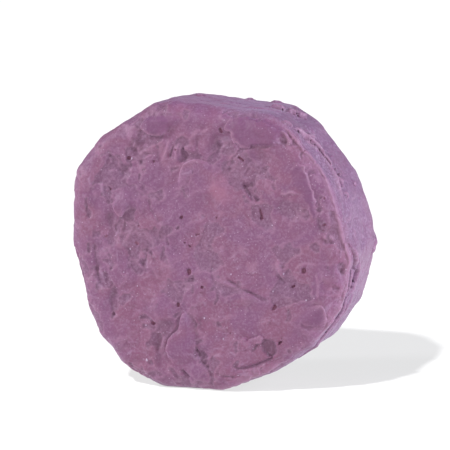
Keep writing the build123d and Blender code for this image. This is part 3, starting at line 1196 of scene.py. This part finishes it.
@dataclass
class Lump:
    """The pressed lump itself."""

    skin: BareSkin
    relief: KneadedRelief
    finish: bpy.types.Material
    near_pore: float = 1.9  # how many radii round a pore have the finest faces
    front_depth: float = 3.2  # how far behind the front the faces are fine
    wall_from: float = -56.0  # degrees round the rim where the fine part of the wall starts
    wall_to: float = 98.0  # and ends
    wall_back: float = 3.0  # the Y where it ends

    def make(self) -> bpy.types.Object:
        """Cuts the whole skin, divides what shows most and raises the relief on it.

        Returns:
            The finished piece.
        """
        piece = self.skin.cut("pressed_lump")
        centres = face_centres(piece)
        turn = np.degrees(np.arctan2(centres[:, 2], centres[:, 0]))
        right_wall = (turn > self.wall_from) & (turn < self.wall_to) & (centres[:, 1] < self.wall_back)
        self.skin.refine(piece, (centres[:, 1] < FRONT + self.front_depth) | right_wall)
        centres = face_centres(piece)
        close = np.zeros(len(centres), bool)
        for pore in PORES:
            distance, _, _ = along_path(centres, pore.corners(self.skin), centres)
            close |= distance < self.near_pore * pore.radius + 0.1
        self.skin.refine(piece, close)
        points, normals = read_points(piece), read_normals(piece)
        rise, recess, lip = self.relief.raise_all(points, normals)
        write_points(piece, points + normals * rise[:, None])
        # The masks carry painted shade in recesses, a painted highlight on lips and painted light on the right
        # side of the rim.
        write_masks(
            piece,
            recess=recess,
            lip=lip,
            smear=np.zeros(len(points)),
            pore=self.relief.in_pores(points),
            rim=self.relief.on_right_rim(points, normals),
            streak=0.5 + 0.5 * self.relief.streaks(points),
            thin=self.relief.thin_patch(points),
        )
        piece.data.materials.append(self.finish)
        return piece


@dataclass(frozen=True)
class Smear:
    """A thin layer dragged over the front face: crisp along its lip and feathered away at its root."""

    node: str
    outline: Path
    lip: Spot  # the middle of its lip
    root: Spot  # where it feathers away
    height: float
    ragged: float = 0.22  # how far its edge wanders
    crisp: float = 0.16  # width of the slope along its lip
    feather: float = 2.4  # and at its root
    tone: float = 1.0  # how deep in colour it is
    calm: float = 0.85  # how smooth it was pressed
    outside: float = 0.9  # how far outside its outline it could reach
    behind: float = 3.4  # and how far behind the front

    def near(self, points: Array) -> Array:
        """Which points the layer could reach."""
        line = rounded(self.outline, closed=True)
        close = inside_outline(points[:, ::2], line) > -self.outside
        return close & (points[:, 1] < FRONT + self.behind)

    def thickness(self, points: Array, normals: Array, skin: BareSkin) -> tuple[Array, Array]:
        """The layer at some points.

        Args:
            points: Points of the bare skin.
            normals: The outward direction at each.
            skin: The bare skin.

        Returns:
            How thick the layer is, below 0 where it is under the lump's surface, and how much painted
            highlight it has along its lip.
        """
        axis = np.subtract(self.root, self.lip)
        share = np.clip((points[:, ::2] - np.array(self.lip)) @ axis / (axis @ axis), 0, 1)
        edge = self.crisp + (self.feather - self.crisp) * share**1.5
        crooked = warped(points, 0.9, self.ragged, 81)
        inner = inside_outline(crooked[:, ::2], rounded(self.outline, closed=True))
        inner += self.ragged * (0.8 * noise(points, 0.5, 85) + 1.2 * noise(points, 1.4, 88))
        swell = 1 + 0.3 * noise(points, 1.8, 86)
        body = self.height * swell * smooth(inner, 0, edge)
        lip = np.exp(-(((inner - 0.2) / 0.3) ** 2)) * (1 - share) ** 2
        return np.where(inner > 0, body, np.maximum(inner, -0.4) * 0.8) - 0.02, lip


@dataclass(frozen=True)
class Roll:
    """Ridges and crumbs rolled up along the rim, each along a path, high at its middle."""

    node: str
    runs: tuple[Stroke, ...]
    tone: float = 0.3
    broken: float = 0.0  # how far it is broken up along its length

    def near(self, points: Array) -> Array:
        """Which points the rolls could reach."""
        return np.ones(len(points), bool)

    def thickness(self, points: Array, normals: Array, skin: BareSkin) -> tuple[Array, Array]:
        """The rolls at some points.

        Args:
            points: Points of the bare skin.
            normals: The outward direction at each.
            skin: The bare skin, to lay the paths on.

        Returns:
            How thick the roll is, below 0 where it is under the lump's surface, and how much painted
            highlight it has along its lip.
        """
        best, lip = np.full(len(points), -0.4), np.zeros(len(points))
        crooked = warped(points, 1.3, 0.22, 91)
        for run in self.runs:
            distance, share, side = along_path(crooked, skin.line(run.path, run.place), normals)
            taper = smooth(share, -0.05, 0.25) * smooth(1 - share, -0.05, 0.25)
            width = run.width * (0.55 + 0.45 * taper) * (1 + 0.3 * noise(points, 1.2, 95))
            reach = distance / np.where((side > 0) & (run.bank > 0), width + run.bank, width)
            kept = 1 - self.broken * (1 - smooth(noise(points, 2.4, 97), -0.25, 0.2))
            body = run.rise * (0.35 + 0.65 * taper) * kept * (1 - reach**2)
            best = np.maximum(best, np.maximum(body, -0.4))
            lip = np.maximum(lip, np.exp(-((reach / 0.7) ** 2)) * taper)
        return best, lip


SMEARS = (
    Smear(
        "upper_left_smear",
        ((-11.6, 19.6), (-10.8, 18.8), (-9.6, 18.3), (-8.4, 18.2), (-7.4, 18.5), (-6.4, 19.2),
            (-5.4, 19.7), (-4.2, 20.4), (-3.6, 21.6), (-6.0, 22.4), (-9.0, 22.2), (-11.4, 21.0)),
        lip=(-8.6, 18.3),
        root=(-7.6, 21.6),
        height=0.6,
        ragged=0.07,
        tone=0.8,
    ),
    Smear(
        "upper_right_smear",
        ((3.0, 19.8), (4.0, 19.4), (4.3, 18.4), (4.4, 17.6), (5.2, 17.3), (5.7, 16.8), (6.1, 16.4),
            (6.6, 16.9), (7.2, 16.7), (8.0, 17.1), (9.2, 16.9), (11.0, 16.7), (12.3, 17.2), (12.6, 18.4),
            (13.7, 18.7), (13.9, 19.4), (12.8, 20.6), (11.0, 21.5), (8.4, 22.0), (5.0, 22.0), (3.2, 21.2)),
        lip=(5.4, 17.0),
        root=(12.6, 20.0),
        height=0.6,
        ragged=0.2,
        tone=0.75,
    ),
    Smear(
        "centre_smear",
        ((-4.3, 13.6), (-3.6, 14.2), (-2.6, 14.7), (-1.0, 14.8), (0.2, 14.4), (2.4, 13.6), (4.4, 12.4),
            (4.8, 9.0), (1.0, 6.6), (-3.4, 7.4), (-5.4, 10.6)),
        lip=(-2.2, 14.7),
        root=(0.6, 9.0),
        height=0.5,
        ragged=0.09,
        feather=4.5,
        tone=0.0,
        calm=0.35,
    ),
    Smear(
        "left_tab_smear",
        ((-16.6, 6.8), (-16.1, 6.0), (-15.7, 5.2), (-15.1, 4.6), (-14.5, 4.8), (-14.1, 5.5), (-13.6, 6.0),
            (-12.8, 6.1), (-12.0, 5.6), (-11.2, 5.0), (-10.0, 7.4), (-12.0, 11.0), (-15.4, 10.4)),
        lip=(-14.6, 4.9),
        root=(-13.0, 9.0),
        height=0.55,
        ragged=0.06,
        feather=3.4,
        tone=0.3,
        calm=0.5,
    ),
    Smear(
        "lower_left_smear",
        ((-4.4, -10.6), (-4.8, -12.0), (-5.0, -13.2), (-5.6, -14.0), (-6.4, -14.6), (-6.9, -15.3),
            (-7.2, -16.4), (-7.2, -17.4), (-6.6, -18.8), (-5.0, -20.2), (-3.0, -19.8), (-2.0, -17.6),
            (-1.5, -14.6), (-2.2, -12.2), (-3.2, -10.4)),
        lip=(-6.9, -14.8),
        root=(-2.6, -16.4),
        height=0.75,
        ragged=0.09,
        feather=3.6,
        tone=0.25,
    ),
    Smear(
        "lower_scrap",
        ((5.5, -14.5), (6.2, -14.1), (7.4, -14.3), (8.3, -14.3), (9.0, -13.7), (9.6, -13.9), (9.2, -14.5),
            (8.9, -15.0), (8.6, -15.6), (7.4, -16.4), (6.2, -16.6), (5.4, -15.6)),
        lip=(8.6, -13.9),
        root=(6.6, -16.2),
        height=0.5,
        ragged=0.28,
        feather=1.4,
        tone=0.1,
        calm=0.0,
    ),
    Smear(
        "lower_right_smear",
        ((18.6, -8.2), (19.8, -8.2), (20.1, -9.6), (19.9, -11.2), (19.2, -12.8), (17.0, -13.6),
            (13.6, -13.2), (12.4, -10.6), (14.8, -8.8)),
        lip=(20.1, -10.0),
        root=(16.6, -11.2),
        height=0.34,
        ragged=0.12,
        feather=4.6,
        tone=0.8,
        calm=0.4,
    ),
    Smear(
        "right_strip_smear",
        ((13.2, 13.6), (14.6, 14.8), (16.3, 14.6), (16.8, 13.0), (17.6, 11.4), (18.3, 9.4), (18.8, 6.0),
            (17.8, 4.8), (16.9, 7.4), (15.2, 9.6), (13.9, 10.6), (13.3, 12.2)),
        lip=(17.2, 12.6),
        root=(14.0, 11.6),
        height=0.16,
        ragged=0.2,
        crisp=0.4,
        feather=1.8,
        tone=2.0,
    ),
)

ROLLS = (
    Roll(
        "rim_lip",
        on_rim(
            (((60, 1.8), (56, 1.2), (54, 0.7), (43, 1.1), (35, 1.3), (26, 0.8)), 0.32, 0.26, 0.3),
            (((30, 1.0), (26, 0.8), (15, 0.6), (7, 0.7), (-3, 1.1), (-11, 2.0)), 0.30, 0.22, 0.3),
            (((-8, 1.9), (-17, 1.7), (-34, 1.5), (-43, 1.2)), 0.34, 0.26, 0.3),
        ),
        broken=0.75,
    ),
    Roll(
        "bottom_fold",
        on_rim(
            (((-92, 1.6), (-82, 1.2), (-72, 0.9), (-60, 0.9), (-52, 1.2)), 0.6, 0.4, 0.4),
        ),
    ),
    Roll(
        "side_ridge",
        on_rim(
            (((56, 2.6), (52, 3.6), (48, 4.9)), 0.42, 0.6, 0.35),
            (((50, 4.4), (44, 6.0), (40, 5.7)), 0.36, 0.55, 0.4),
            (((42, 5.9), (38, 5.9), (35, 5.8)), 0.28, 0.4, 0.3),
        ),
    ),
    Roll(
        "right_folds",
        on_rim(
            (((-14, 4.7), (-21, 3.9), (-29, 3.8), (-38, 3.7), (-50, 3.7)), 0.4, 0.4, 0.3),
            (((-18, 8.4), (-25, 7.2), (-34, 7.0)), 0.35, 0.35, 0.3),
        ),
    ),
    Roll(
        "side_nodules",
        on_rim(
            (((60.5, 2.2), (58, 2.5), (56, 2.8)), 0.42, 0.55),
            (((51, 5.2), (49, 6.0), (47.4, 6.5)), 0.55, 0.75),
            (((34, 6.0), (33, 6.2)), 0.30, 0.55),
            (((31.6, 6.3), (30.4, 6.0)), 0.28, 0.5),
            (((29.6, 5.3), (27.4, 5.9), (25.6, 5.2)), 0.34, 0.6),
            (((24.6, 5.0), (22.4, 5.6), (20.6, 4.9)), 0.30, 0.5),
            (((26.4, 12.0), (24.4, 12.4)), 0.5, 0.45),
        ),
    ),
    Roll(
        "crumb_strip",
        on_rim(
            (((70.5, 9.6), (68, 10.3), (66.4, 9.9), (65, 10.4)), 0.55, 0.8),
            (((64.4, 10.2), (62.6, 11.0), (61, 10.8)), 0.5, 0.75),
            (((60.4, 11.2), (58.6, 12.2), (57, 12.0)), 0.6, 0.85),
            (((63, 12.4), (61, 12.9)), 0.35, 0.5),
        ),
    ),
    Roll(
        "rim_ear",
        on_rim(
            (((3, 1.8), (0, 2.8), (-3, 3.4), (-6, 4.4)), 0.6, 0.7, 0.5),
            (((-2, 4.0), (-6, 5.4), (-10, 6.0), (-14, 5.2), (-18, 3.8)), 0.5, 0.8, 0.6),
            (((-6, 2.4), (-12, 3.0), (-17, 3.4)), 0.4, 0.4, 0.4),
        ),
    ),
    Roll(
        "back_nodules",
        on_rim(
            (((1, 15.2), (-1.5, 15.9), (-4, 15.4)), 1.1, 0.38),
            (((74, 15.6), (70, 15.8)), 0.7, 0.35),
            (((85, 15.6), (82, 16.0)), 0.8, 0.35),
            (((103, 11.8), (100, 12.0)), 1.0, 0.3),
        ),
    ),
)


@dataclass
class Layers:
    """The smears, rolls and crumbs that lie on the lump, each a thin piece of the same compound."""

    skin: BareSkin
    relief: KneadedRelief
    finish: bpy.types.Material
    bed: float = 0.5  # how far each reaches down into the lump
    margin: float = -0.38  # thinner than this, a layer is cut away

    def make(self, layer: Smear | Roll) -> bpy.types.Object:
        """Cuts one layer from the skin, raises it on the relief and gives it an underside.

        Args:
            layer: The layer's outline or paths.

        Returns:
            The finished piece.
        """

        def reached(centres: Array) -> Array:
            """Finds the faces that the layer covers.

            Args:
                centres: The middle of each face.

            Returns:
                True where it covers the face, with a margin under the lump's surface.
            """
            wanted = layer.near(centres)
            thickness, _ = layer.thickness(centres[wanted], centres[wanted], self.skin)
            wanted[wanted] = thickness > self.margin
            return wanted

        piece = self.skin.cut(layer.node + "_layer", reached, cuts=3)
        points, normals = read_points(piece), read_normals(piece)
        rise, recess, lip = self.relief.raise_all(points, normals)
        thickness, edge = layer.thickness(points, normals, self.skin)
        write_points(piece, points + normals * (rise + thickness)[:, None])
        # The masks carry painted shade in recesses, a painted highlight on lips and painted light on the right
        # side of the rim.
        write_masks(
            piece,
            recess=recess * (1 - smooth(thickness, 0.0, 0.3)),
            streak=0.5 + 0.5 * self.relief.streaks(points),
            thin=self.relief.thin_patch(points),
            lip=np.maximum(lip, edge),
            rim=self.relief.on_right_rim(points, normals),
            smear=layer.tone * smooth(thickness, 0.02, 0.3),
        )
        finish_with(piece, "SOLIDIFY", thickness=self.bed * MM, offset=-1.0)
        piece.data.materials.append(self.finish)
        return piece


@dataclass
class Grains:
    """White mineral grains caught in the front face, each a blunt crystal set half into it."""

    skin: BareSkin
    ground: bpy.types.Object
    finish: bpy.types.Material
    spots: tuple[tuple[float, float, float], ...] = (
        (-10.4, -18.9, 0.20), (13.0, -3.4, 0.12), (16.8, -7.6, 0.14), (-13.0, 14.5, 0.14), (-0.5, -11.4, 0.15),
        (-13.3, -0.5, 0.12), (4.1, -3.9, 0.12), (11.0, 4.4, 0.11), (-10.6, -13.1, 0.12), (-2.6, 2.1, 0.10),
        (11.2, -6.4, 0.12), (-14.4, -4.4, 0.10), (2.7, -14.7, 0.11), (-12.1, -6.6, 0.10),
    )  # fmt: skip
    uneven: float = 0.28  # how far a crystal is from round
    tall: float = 1.35  # its height, against its width

    def make(self) -> bpy.types.Object:
        """Sets a crystal at each spot of the finished lump and joins them.

        Returns:
            All the crystals as one piece.
        """
        ground = BVHTree.FromObject(self.ground, bpy.context.evaluated_depsgraph_get())
        crystals = []
        for number, (across, up, radius) in enumerate(self.spots):
            start = (Vector((across, -FAR, up)) + Vector(MIDDLE)) * MM
            spot = ground.ray_cast(start, Vector((0, 1, 0)))[0]
            bpy.ops.object.select_all(action="DESELECT")
            bpy.ops.mesh.primitive_ico_sphere_add(subdivisions=2, radius=radius * MM, location=spot)
            crystal = bpy.context.object
            points = read_points(crystal) + MIDDLE  # the sphere's own middle is its origin
            points *= 1 + self.uneven * noise(points / radius + number * 7.3, 0.9, 31)[:, None]
            points[:, 2] *= self.tall
            crystal.data.vertices.foreach_set("co", (points * MM).astype(np.float32).ravel())
            crystals.append(crystal)
        for crystal in crystals:
            crystal.select_set(True)
        bpy.context.view_layer.objects.active = crystals[0]
        bpy.ops.object.join()
        piece = bpy.context.object
        piece.name = "mineral_grains"
        bpy.ops.object.transform_apply(location=True, rotation=True, scale=True)
        piece.data.materials.append(self.finish)
        return piece


# ---- Studio --------------------------------------------------------------------------------------------


@dataclass(frozen=True)
class SoftBox:
    """A round soft box, placed by its direction from the lump."""

    name: str
    turn: float  # degrees round to the right of straight ahead
    lift: float  # degrees above the level
    far: float
    across: float
    watts: float
    colour: str


BOXES = (
    SoftBox("key_box", turn=-12, lift=27, far=900, across=90, watts=1.4, colour="#FFFDFB"),
    SoftBox("left_box", turn=-68, lift=30, far=700, across=110, watts=3.8, colour="#FBF8FF"),
    SoftBox("right_box", turn=84, lift=24, far=700, across=420, watts=6.3, colour="#EDF1FF"),
)


@dataclass
class Studio:
    """A pale floor, a soft key light from the upper left, and the camera."""

    camera_turn: float = 17.0  # degrees round to the right of straight ahead
    camera_lift: float = 8.0
    camera_far: float = 450.0
    camera_raise: float = 2.667  # the camera's own height above its line to the lump's middle
    lens: float = 216.0
    film: float = 36.0  # width of the film
    floor_width: float = 8.0  # in metres, so that its edge is far out of sight
    floor_white: tuple[float, float, float] = (0.12, 0.12, 0.12)  # the glow does the rest
    floor_glow: float = 0.69
    shadow_turn: float = -12.0
    shadow_lift: float = 44.5
    shadow_soft: float = 3.2  # degrees across the lamp
    shadow_strength: float = 13.0
    surroundings: float = 0.59  # light from in front and below
    overhead: float = 0.0  # and from above and behind
    dim_side: tuple[float, float, float] = (0.0, 0.75, 0.66)  # towards above and behind
    dim_from: float = -0.4  # how far that way they start to dim
    dim_to: float = 0.8  # and are dimmest

    def direction(self, turn: float, lift: float) -> Array:
        """The unit vector from the lump towards the front, this far round to the right and up."""
        around, up = math.radians(turn), math.radians(lift)
        return np.array([math.sin(around) * math.cos(up), -math.cos(around) * math.cos(up), math.sin(up)])

    def aim(self, away: Array) -> Matrix:
        """The turn of a camera or light that looks back along a direction."""
        return Vector(-away).to_track_quat("-Z", "Y").to_matrix().to_4x4()

    def add_camera(self) -> None:
        """Sets the camera at the front, a little to the right and above."""
        away = self.direction(self.camera_turn, self.camera_lift)
        turn = self.aim(away)
        place = (MIDDLE + away * self.camera_far) * MM + np.array(turn.col[1][:3]) * self.camera_raise * MM
        bpy.ops.object.camera_add(location=place, rotation=turn.to_euler())
        camera = bpy.context.object
        camera.data.lens = self.lens
        camera.data.sensor_width = self.film
        bpy.context.scene.camera = camera

    def add_box(self, box: SoftBox) -> None:
        """Adds one soft box that faces the lump.

        Args:
            box: Where it stands, and its light.
        """
        away = self.direction(box.turn, box.lift)
        place = (MIDDLE + away * box.far) * MM
        bpy.ops.object.light_add(type="AREA", location=place, rotation=self.aim(away).to_euler())
        bpy.context.object.name = box.name
        lamp = bpy.context.object.data
        lamp.shape = "DISK"
        lamp.size = box.across * MM
        lamp.energy = box.watts
        lamp.color = linear(box.colour)[:3]

    def add_floor(self) -> None:
        """Lays a glowing white floor under the cake, and the lamp that draws the shadow on it."""
        bpy.ops.object.select_all(action="DESELECT")
        bpy.ops.mesh.primitive_plane_add(size=self.floor_width, location=(0, 0, LOW.z))
        floor = bpy.context.object
        floor.name = "studio_floor"
        material = bpy.data.materials.new("lit_white_acrylic")
        material.use_nodes = True
        shader = material.node_tree.nodes["Principled BSDF"]
        shader.inputs["Base Color"].default_value = (*self.floor_white, 1)
        shader.inputs["Roughness"].default_value = 1.0
        shader.inputs["Specular IOR Level"].default_value = 0.0
        shader.inputs["Emission Color"].default_value = (1, 1, 1, 1)
        shader.inputs["Emission Strength"].default_value = self.floor_glow
        floor.data.materials.append(material)
        away = self.direction(self.shadow_turn, self.shadow_lift)
        bpy.ops.object.light_add(type="SUN", rotation=self.aim(away).to_euler())
        lamp = bpy.context.object
        lamp.name = "shadow_lamp"
        lamp.data.angle = math.radians(self.shadow_soft)
        lamp.data.energy = self.shadow_strength
        only_floor = bpy.data.collections.new("lit_by_shadow_lamp")
        only_floor.objects.link(floor)
        lamp.light_linking.receiver_collection = only_floor

    def make(self) -> None:
        """Sets up the camera, floor, lights, white surroundings and plain colour transform."""
        self.add_camera()
        self.add_floor()
        for box in BOXES:
            self.add_box(box)
        world = bpy.data.worlds.new("white_surroundings")
        bpy.context.scene.world = world
        world.use_nodes = True
        tree = world.node_tree
        towards = add_node(tree, "ShaderNodeTexCoord").outputs["Generated"]
        # It is dim above and behind, as in front of an open light tent.
        behind = add_node(
            tree, "ShaderNodeVectorMath", {"operation": "DOT_PRODUCT"}, _0=towards, _1=self.dim_side
        )
        shade = add_node(
            tree,
            "ShaderNodeMapRange",
            Value=behind.outputs["Value"],
            From_Min=self.dim_from,
            From_Max=self.dim_to,
            To_Min=self.surroundings,
            To_Max=self.overhead,
        )
        tree.links.new(shade.outputs["Result"], tree.nodes["Background"].inputs["Strength"])
        tree.nodes["Background"].inputs["Color"].default_value = (1, 1, 1, 1)
        bpy.context.scene.view_settings.view_transform = "Standard"


def main() -> None:
    """Builds every piece in order and reports each one."""
    logging.basicConfig(level=logging.INFO, format="%(name)s: %(message)s")
    Studio().make()
    skin = BareSkin()
    relief = KneadedRelief(skin, tuple((smear.outline, smear.calm) for smear in SMEARS))
    compound, mineral = KneadedWaxCompound().make(), MineralGrain().make()
    lump = Lump(skin, relief, compound).make()
    made = {"cake_lump": lump}
    layers = Layers(skin, relief, compound)
    for layer in (*SMEARS, *ROLLS):
        made[layer.node] = layers.make(layer)
    made["white_grains"] = Grains(skin, lump, mineral).make()
    bpy.data.objects.remove(skin.blank)
    for node, piece in made.items():
        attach(piece, "root")
        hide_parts(node)
        LOG.info("%s: %d faces", piece.name, len(piece.data.polygons))


if __name__ == "__main__":
    main()
